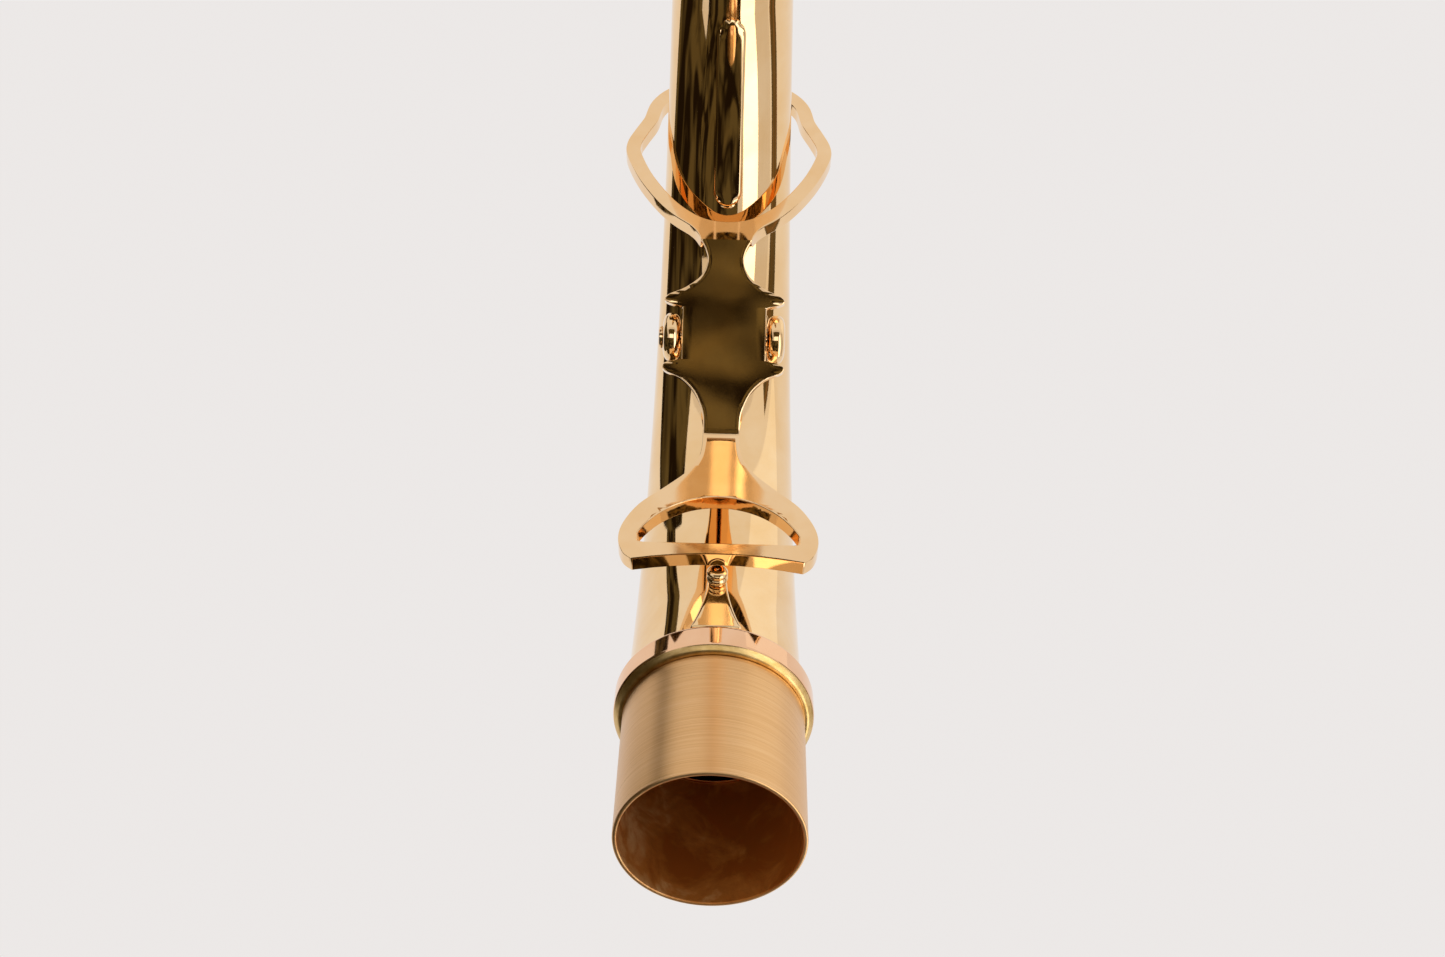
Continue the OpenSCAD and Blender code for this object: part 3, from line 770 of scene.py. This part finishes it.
# arm from the ring to the pad's cup, the cup and the pad
def makePadEnd():
    p = {"seat": 0.00403, "proud": 0.0008, "thick": 0.002, "cup": 0.0053, "wall": 0.0006, "cupEdge": 0.0007,
         "cupSoft": 0.00022, "padEdge": 0.0004, "dimple": 0.0014, "dimpleRim": 0.0019, "dimpleDeep": 0.00006,
         "padSoft": 0.0004, "sides": 96}
    bar = {"wall": 0.0018, "half": 0.00225, "fromRing": 0.0012, "deep": 0.0007, "near": -0.0026,
           "far": 0.0022, "kneeGap": 0.0002, "edge": 0.00035, "across": 4, "trim": 0.00004}
    cupHigh = p["thick"] - p["proud"] + 2 * p["wall"]
    rest = p["seat"] + p["proud"] + cupHigh + slack + bar["wall"] / 2
    root = facePoint(ringAt, ringSlope, ringRise + ringHalfLength + bar["fromRing"], bar["deep"])
    knee = overVent(-p["cup"] - bar["kneeGap"], rest)
    line = [root, root * 0.7 + knee * 0.3, root * 0.35 + knee * 0.65, knee + (root - knee) * 0.1,
            knee + (overVent(0, rest) - knee) * 0.12, overVent(bar["near"], rest), overVent(bar["far"], rest)]
    path = curveThrough([tuple(q) for q in line], 4)
    arm = strip("padArm", [(q, bar["half"]) for q in path], bar["across"])
    faceToward(arm, (0, 0, 1))
    thicken(arm, bar["wall"] - bar["trim"], offset=0.0)
    roundEdges(arm, bar["edge"], 3)
    smooth(arm, weighted=True)

    r = p["cup"]
    low = p["seat"] + p["proud"]
    top = low + cupHigh
    inside = low + p["thick"] - p["proud"] + slack
    outline = [(r - p["wall"], low), (r, low), (r, top - p["cupEdge"]), (r * 0.82, top), (axis, top),
               (axis, inside), (r - p["wall"], inside)]
    cup = lathed("padCup", softened(outline, p["cupSoft"]), p["sides"])
    placeOnTop(cup, ventAt)
    smooth(cup, 36, weighted=True)

    r = p["cup"] - p["wall"] - slack
    low, top = p["seat"], p["seat"] + p["thick"]
    outline = [(axis, low), (p["dimple"], low), (p["dimpleRim"], low + p["dimpleDeep"]), (r * 0.8, low),
               (r, low + p["padEdge"]), (r, top), (axis, top)]
    pad = lathed("keyPad", softened(outline, p["padSoft"], 5), p["sides"])
    placeOnTop(pad, ventAt)
    smooth(pad, 40, weighted=True)
    return arm, cup, pad


# flat spring under the plate and its screw
def makeSpring():
    p = {"half": 0.0014, "wall": 0.00035, "flat": 0.0018, "restHigh": 0.00125, "pastHinge": 0.0045,
         "flatRows": 4, "bentRows": 16, "edge": 0.00006, "across": 4}
    at = key["hinge"] * plateLength + p["pastHinge"]
    seat = key["plateWall"] + slack
    tip = offTube(springRestAt, p["restHigh"]) - creaseAt
    tipU = tip.dot(Vector((cos(plateSlope), 0, sin(plateSlope))))
    tipDeep = tip.dot(Vector((-sin(plateSlope), 0, cos(plateSlope)))) - p["wall"]
    start = at + p["flat"]
    rows = []
    for i in range(p["flatRows"] + 1):
        u = at - p["flat"] + 2 * p["flat"] * i / p["flatRows"]
        rows.append((facePoint(creaseAt, plateSlope, u, seat), p["half"]))
    for i in range(1, p["bentRows"] + 1):
        k = i / p["bentRows"]
        u, deep = start + (tipU - start) * k, seat + (tipDeep - seat) * k ** 2
        rows.append((facePoint(creaseAt, plateSlope, u, deep), p["half"]))
    spring = strip("flatSpring", rows, p["across"])
    faceToward(spring, (-sin(plateSlope), 0, cos(plateSlope)))
    thicken(spring, p["wall"], offset=1.0)
    roundEdges(spring, p["edge"])
    smooth(spring, weighted=True)

    head = {"shank": 0.0007, "from": 0.0007, "r": 0.0012, "side": 0.0005, "high": 0.0007, "topRadius": 0.0006,
            "soft": 0.0001, "sides": 48}
    high = seat + p["wall"] + slack
    outline = [(axis, head["from"]), (head["shank"], head["from"]), (head["shank"], high), (head["r"], high),
               (head["r"], high + head["side"]), (head["topRadius"], high + head["high"]),
               (axis, high + head["high"])]
    screw = lathed("springScrew", softened(outline, head["soft"], 3), head["sides"])
    setPlace(screw, facePoint(creaseAt, plateSlope, at), (0, -plateSlope, 0))
    smooth(screw, weighted=True)
    return spring, screw


# looks
def newMaterial(name):
    mat = bpy.data.materials.new(name)
    mat.use_nodes = True
    return mat, mat.node_tree.nodes, mat.node_tree.links, mat.node_tree.nodes["Principled BSDF"]


def placeNode(nodes, links, scale=(1, 1, 1)):
    coord = nodes.new("ShaderNodeTexCoord")
    mapping = nodes.new("ShaderNodeMapping")
    mapping.inputs["Scale"].default_value = scale
    links.new(coord.outputs["Object"], mapping.inputs["Vector"])
    return mapping.outputs["Vector"]


def noiseNode(nodes, links, place, scale, detail=4.0, rough=0.5, distortion=0.0):
    n = nodes.new("ShaderNodeTexNoise")
    n.inputs["Scale"].default_value = scale
    n.inputs["Detail"].default_value = detail
    n.inputs["Roughness"].default_value = rough
    n.inputs["Distortion"].default_value = distortion
    links.new(place, n.inputs["Vector"])
    return n.outputs["Fac"]


def rampNode(nodes, links, fac, stops):
    r = nodes.new("ShaderNodeValToRGB")
    while len(r.color_ramp.elements) < len(stops):
        r.color_ramp.elements.new(0.5)
    for e, (at, color) in zip(r.color_ramp.elements, stops):
        e.position = at
        e.color = (*color, 1)
    links.new(fac, r.inputs["Fac"])
    return r.outputs["Color"]


def rangeNode(nodes, links, fac, low, high, fromLow=0.3, fromHigh=0.7):
    r = nodes.new("ShaderNodeMapRange")
    r.inputs["From Min"].default_value = fromLow
    r.inputs["From Max"].default_value = fromHigh
    r.inputs["To Min"].default_value = low
    r.inputs["To Max"].default_value = high
    links.new(fac, r.inputs["Value"])
    return r.outputs["Result"]


def bumpNode(nodes, links, height, strength, distance, below=None):
    b = nodes.new("ShaderNodeBump")
    b.inputs["Strength"].default_value = strength
    b.inputs["Distance"].default_value = distance
    links.new(height, b.inputs["Height"])
    if below:
        links.new(below, b.inputs["Normal"])
    return b.outputs["Normal"]


def metal(name, light, dark, rough, wave, grain, lacquer=0.0):
    # polished metal: uneven colour, patchy polish, gentle waves and fine grain
    p = {"cells": 160, "polishCells": 496, "waves": 75, "waveHigh": 0.0006, "grains": 9000,
         "grainHigh": 0.00004}
    mat, nodes, links, shader = newMaterial(name)
    shader.inputs["Metallic"].default_value = 1.0
    shader.inputs["Coat Weight"].default_value = lacquer
    shader.inputs["Coat Roughness"].default_value = 0.04
    shader.inputs["Coat IOR"].default_value = 1.45
    place = placeNode(nodes, links)
    patchy = noiseNode(nodes, links, place, p["cells"], 5, 0.55, 0.4)
    links.new(rampNode(nodes, links, patchy, [(0.32, dark), (0.66, light)]), shader.inputs["Base Color"])
    polish = noiseNode(nodes, links, place, p["polishCells"], 6, 0.6)
    links.new(rangeNode(nodes, links, polish, rough[0], rough[1]), shader.inputs["Roughness"])
    swell = noiseNode(nodes, links, place, p["waves"], 1.5, 0.4)
    waves = bumpNode(nodes, links, swell, wave, p["waveHigh"])
    fine = noiseNode(nodes, links, placeNode(nodes, links), p["grains"], 3, 0.6)
    links.new(bumpNode(nodes, links, fine, grain, p["grainHigh"], waves), shader.inputs["Normal"])
    return mat


def aroundNode(nodes, links):
    # distance from the tenon's axis, and height along it
    coord = nodes.new("ShaderNodeTexCoord")
    parts = nodes.new("ShaderNodeSeparateXYZ")
    links.new(coord.outputs["Object"], parts.inputs["Vector"])
    flat = nodes.new("ShaderNodeCombineXYZ")
    links.new(parts.outputs["X"], flat.inputs["X"])
    links.new(parts.outputs["Y"], flat.inputs["Y"])
    far = nodes.new("ShaderNodeVectorMath")
    far.operation = "LENGTH"
    links.new(flat.outputs["Vector"], far.inputs[0])
    return far.outputs["Value"], parts.outputs["Z"]


def mixNode(nodes, links, fac, a, b):
    m = nodes.new("ShaderNodeMix")
    m.data_type = "RGBA"
    links.new(fac, m.inputs["Factor"])
    links.new(a, m.inputs["A"])
    links.new(b, m.inputs["B"])
    return m.outputs["Result"]


def rawBrass():
    # bare brass outside with scratches that run round it, tarnished and blotched inside, with painted shade
    # that darkens one side of the bore
    p = {"insideTo": 0.00045, "outsideFrom": 0.0003, "flatten": 260}
    mat, nodes, links, shader = newMaterial("rawBrass")
    far = aroundNode(nodes, links)[0]
    inner, outer = tenonRadius - p["insideTo"], tenonRadius - p["outsideFrom"]
    inside = rangeNode(nodes, links, far, 1.0, 0.0, inner, outer)
    flattened = placeNode(nodes, links, (1, 1, p["flatten"]))
    scratch = noiseNode(nodes, links, flattened, 60, 6, 0.62)
    blotch = noiseNode(nodes, links, placeNode(nodes, links), 150, 8, 0.68, 0.5)
    bright = [(0.30, (0.66, 0.36, 0.14)), (0.52, (0.80, 0.48, 0.215)), (0.74, (0.90, 0.62, 0.34))]
    out = rampNode(nodes, links, scratch, bright)
    # painted shade: the bore is darker to one side, a gradient across Y added to the tarnish blotches
    coord = nodes.new("ShaderNodeTexCoord")
    parts = nodes.new("ShaderNodeSeparateXYZ")
    links.new(coord.outputs["Object"], parts.inputs["Vector"])
    tarnishAndSideShade = nodes.new("ShaderNodeMath")
    tarnishAndSideShade.operation = "ADD"
    links.new(blotch, tarnishAndSideShade.inputs[0])
    # painted shade: a darkening across Y, added to the real blotches
    links.new(rangeNode(nodes, links, parts.outputs["Y"], 0.13, -0.10, -0.011, 0.003), tarnishAndSideShade.inputs[1])
    # colours for the tarnish and the painted shade together
    tarnishAndShadeColours = [(0.40, (0.40, 0.11, 0.012)), (0.55, (0.58, 0.21, 0.035)), (0.74, (0.90, 0.56, 0.24))]
    bore = rampNode(nodes, links, tarnishAndSideShade.outputs["Value"], tarnishAndShadeColours)
    links.new(mixNode(nodes, links, inside, out, bore), shader.inputs["Base Color"])
    links.new(rangeNode(nodes, links, inside, 1.0, 0.45, 0.0, 1.0), shader.inputs["Metallic"])
    links.new(rangeNode(nodes, links, scratch, 0.27, 0.38), shader.inputs["Roughness"])
    grain = bumpNode(nodes, links, scratch, 0.22, 0.00005)
    links.new(bumpNode(nodes, links, blotch, 0.10, 0.0001, grain), shader.inputs["Normal"])
    return mat


def collarLook():
    # rose lacquer, with bare brass on the face that seats
    p = {"seatTo": 0.00062, "roseFrom": 0.00072}
    mat, nodes, links, shader = newMaterial("roseLacquer")
    shader.inputs["Metallic"].default_value = 1.0
    height = aroundNode(nodes, links)[1]
    seat = rangeNode(nodes, links, height, 1.0, 0.0, p["seatTo"], p["roseFrom"])
    place = placeNode(nodes, links)
    patchy = noiseNode(nodes, links, place, 150, 5, 0.55, 0.4)
    rose = rampNode(nodes, links, patchy, [(0.32, (0.90, 0.53, 0.30)), (0.66, (0.94, 0.60, 0.37))])
    worn = noiseNode(nodes, links, placeNode(nodes, links, (1, 1, 3)), 500, 6, 0.6)
    bare = rampNode(nodes, links, worn, [(0.3, (0.58, 0.36, 0.11)), (0.7, (0.86, 0.62, 0.28))])
    links.new(mixNode(nodes, links, seat, rose, bare), shader.inputs["Base Color"])
    links.new(rangeNode(nodes, links, seat, 0.07, 0.32, 0.0, 1.0), shader.inputs["Roughness"])
    waves = bumpNode(nodes, links, noiseNode(nodes, links, place, 90, 1.5, 0.4), 0.05, 0.0006)
    links.new(bumpNode(nodes, links, worn, 0.05, 0.00004, waves), shader.inputs["Normal"])
    return mat


def corkLook():
    mat, nodes, links, shader = newMaterial("cork")
    place = placeNode(nodes, links)
    soft = noiseNode(nodes, links, place, 420, 6, 0.65, 0.6)
    cells = nodes.new("ShaderNodeTexVoronoi")
    cells.inputs["Scale"].default_value = 900
    links.new(place, cells.inputs["Vector"])
    bark = [(0.3, (0.30, 0.16, 0.07)), (0.52, (0.55, 0.34, 0.17)), (0.7, (0.66, 0.45, 0.25))]
    base = rampNode(nodes, links, soft, bark)
    pitted = [(0.0, (0.16, 0.08, 0.035)), (0.35, (0.6, 0.39, 0.2))]
    pits = rampNode(nodes, links, cells.outputs["Distance"], pitted)
    m = nodes.new("ShaderNodeMix")
    m.data_type = "RGBA"
    m.inputs["Factor"].default_value = 0.3
    links.new(base, m.inputs["A"])
    links.new(pits, m.inputs["B"])
    links.new(m.outputs["Result"], shader.inputs["Base Color"])
    links.new(rangeNode(nodes, links, soft, 0.7, 0.9), shader.inputs["Roughness"])
    links.new(bumpNode(nodes, links, soft, 0.5, 0.0002), shader.inputs["Normal"])
    return mat


def padLook():
    mat, nodes, links, shader = newMaterial("padLeather")
    place = placeNode(nodes, links)
    soft = noiseNode(nodes, links, place, 700, 6, 0.6)
    links.new(rampNode(nodes, links, soft, [(0.3, (0.30, 0.17, 0.09)), (0.7, (0.48, 0.31, 0.19))]),
              shader.inputs["Base Color"])
    links.new(rangeNode(nodes, links, soft, 0.5, 0.7), shader.inputs["Roughness"])
    pores = noiseNode(nodes, links, place, 3200, 4, 0.6)
    links.new(bumpNode(nodes, links, pores, 0.4, 0.00006), shader.inputs["Normal"])
    return mat


def dress(obj, mats):
    obj.data.materials.clear()
    for m in mats:
        obj.data.materials.append(m)


looks = {
    "gold": metal("goldLacquer", (0.95, 0.68, 0.38), (0.91, 0.61, 0.30), (0.025, 0.055), 0.030, 0.02, 0.25),
    "key": metal("keyBrass", (0.95, 0.67, 0.38), (0.91, 0.60, 0.30), (0.025, 0.06), 0.10, 0.02, 0.25),
    "rose": collarLook(),
    "bore": metal("boreBrass", (0.55, 0.33, 0.12), (0.36, 0.18, 0.05), (0.25, 0.4), 0.05, 0.1),
    "steel": metal("steel", (0.66, 0.65, 0.63), (0.52, 0.51, 0.49), (0.14, 0.24), 0.02, 0.06),
    "spring": metal("springSteel", (0.16, 0.20, 0.30), (0.10, 0.12, 0.18), (0.18, 0.3), 0.02, 0.05),
    "raw": rawBrass(), "cork": corkLook(), "pad": padLook(),
}

print("neck")
tube = makeTube()
dress(tube, [looks["gold"], looks["bore"]])
sleeve = makeSleeve()
dress(sleeve, [looks["raw"]])
collar = makeCollar()
dress(collar, [looks["rose"]])
ferrule, cork, tipRing = makeTipPieces()
plates = makePlates(tube)
posts = makePosts()
hingeScrew = makeScrew()
vent = makeVent()
stopPost, stopButton = makeStop()
for obj in (ferrule, tipRing, *plates, *posts, stopPost, stopButton):
    dress(obj, [looks["gold"]])
dress(vent, [looks["raw"]])
dress(cork, [looks["cork"]])
dress(hingeScrew, [looks["gold"]])
neckPieces = {
    tube: "neck_tube", sleeve: "tenon_sleeve", collar: "collar_ring", ferrule: "cork_ferrule",
    cork: "neck_cork", tipRing: "tip_ring", plates[0]: "brace_plate", plates[1]: "vent_saddle",
    plates[2]: "spring_rest", plates[3]: "hinge_saddle", posts[0]: "hinge_post_left",
    posts[1]: "hinge_post_right", hingeScrew: "hinge_screw", vent: "octave_vent", stopPost: "stop_post",
    stopButton: "stop_button",
}
for obj, node in neckPieces.items():
    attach(obj, "neck")
    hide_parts(node)

print("key")
octaveKey = makeKey()
hingeTube = makeHingeTube()
arm, cup, pad = makePadEnd()
spring, springScrew = makeSpring()
for obj in (octaveKey, hingeTube, arm, cup):
    dress(obj, [looks["key"]])
dress(pad, [looks["pad"]])
dress(spring, [looks["spring"]])
dress(springScrew, [looks["steel"]])
for obj, node in {hingeTube: "hinge_tube", arm: "pad_arm", cup: "pad_cup", pad: "key_pad",
                  springScrew: "spring_screw"}.items():
    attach(obj, "octave_key")
    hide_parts(node)
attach(octaveKey, "octave_key")
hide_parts("touch_lever", "key_ring")
list(facePoint(creaseAt, plateSlope, 0.52 * plateLength + 0.0063, 0.0018))
list(offTube(0.078, 0.0013))
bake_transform(spring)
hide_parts("flat_spring")

print("stage")


def card(name, at, toward, wide, high, dark, light, strength, scale=6.0):
    # a soft panel that shows in reflections but not to the camera
    deselect()
    bpy.ops.mesh.primitive_plane_add(size=1, location=at)
    obj = named(name)
    obj.scale = (wide, high, 1)
    obj.rotation_euler = (Vector(toward) - Vector(at)).to_track_quat("Z", "Y").to_euler()
    mat = bpy.data.materials.new(name)
    mat.use_nodes = True
    nodes, links = mat.node_tree.nodes, mat.node_tree.links
    nodes.remove(nodes["Principled BSDF"])
    glow = nodes.new("ShaderNodeEmission")
    patchy = noiseNode(nodes, links, placeNode(nodes, links), scale, 2, 0.4, 0.8)
    links.new(rampNode(nodes, links, patchy, [(0.42, dark), (0.6, light)]), glow.inputs["Color"])
    glow.inputs["Strength"].default_value = strength
    links.new(glow.outputs["Emission"], nodes["Material Output"].inputs["Surface"])
    obj.data.materials.append(mat)
    obj.visible_camera = False
    obj.visible_shadow = False
    obj.visible_diffuse = False


def makeFloor():
    p = {"size": 6.0, "below": 0.45, "rough": 0.9}
    deselect()
    bpy.ops.mesh.primitive_plane_add(size=p["size"], location=(0, 0, -p["below"]))
    obj = named("floor")
    mat, nodes, links, shader = newMaterial("paleFloor")
    soft = noiseNode(nodes, links, placeNode(nodes, links), 3.0, 5)
    links.new(rampNode(nodes, links, soft, [(0.3, (0.80, 0.785, 0.775)), (0.7, (0.83, 0.815, 0.805))]),
              shader.inputs["Base Color"])
    shader.inputs["Roughness"].default_value = p["rough"]
    obj.data.materials.append(mat)


makeFloor()
dim, olive, amber = (0.012, 0.007, 0.003), (0.10, 0.075, 0.03), (0.20, 0.11, 0.04)
moss = (0.16, 0.115, 0.04)
white = (1.0, 0.98, 0.95)
# each card: its place, what it faces, width, height, two colours, strength and scale of its patches
card("lowDark", (-0.15, -0.17, -0.26), (-0.15, -0.17, 1), 0.7, 0.56, dim, olive, 1.0, 7)
card("frontDark", (0.45, 0.0, -0.23), (0.03, 0, -0.23), 0.5, 0.26, dim, moss, 1.0, 12)
card("sideDark", (0.03, -0.42, 0.0), (0.03, 0, 0.0), 0.66, 0.66, dim, olive, 1.0, 5)
card("highDark", (0.17, -0.36, 0.46), (0.05, 0, 0.05), 0.13, 0.40, dim, olive, 1.0, 5)
card("rightDark", (-0.08, 0.50, 0.07), (0.0, 0, 0.07), 0.7, 0.12, olive, amber, 1.0, 5)
card("lowSoftbox", (0.02, 0.26, -0.24), (0.06, 0, 0.07), 0.9, 0.20, white, white, 2.3)
card("sideSoftbox", (0.25, 0.50, 0.45), (0.0, 0, 0.02), 0.5, 0.6, white, white, 1.0)
card("frontSoftbox", (0.32, 0.0, -0.40), (0.1, 0, 0.06), 0.3, 0.3, white, white, 1.5)
world = bpy.data.worlds.new("paleRoom")
bpy.context.scene.world = world
world.use_nodes = True
background = world.node_tree.nodes["Background"]
background.inputs["Color"].default_value = (1.0, 0.965, 0.95, 1)
background.inputs["Strength"].default_value = 0.84


def addCamera():
    p = {"lens": 43.6, "sensor": 36, "clip": 0.005, "at": (0.16621, 0.00035, -0.16860),
         "forward": (-0.5970, 0, 0.8022), "up": (0.8022, 0, 0.5970), "roll": radians(1.53)}
    bpy.ops.object.camera_add(location=p["at"])
    cam = bpy.context.object
    cam.name = "camera"
    f = Vector(p["forward"]).normalized()
    up = Vector(p["up"])
    right = f.cross(up)
    x = right * cos(p["roll"]) + up * sin(p["roll"])
    y = up * cos(p["roll"]) - right * sin(p["roll"])
    cam.matrix_world = Matrix.Translation(p["at"]) @ Matrix((x, y, -f)).transposed().to_4x4()
    cam.data.lens = p["lens"]
    cam.data.sensor_width = p["sensor"]
    cam.data.clip_start = p["clip"]
    bpy.context.scene.camera = cam


addCamera()
bpy.context.scene.view_settings.view_transform = "Standard"
print("done")
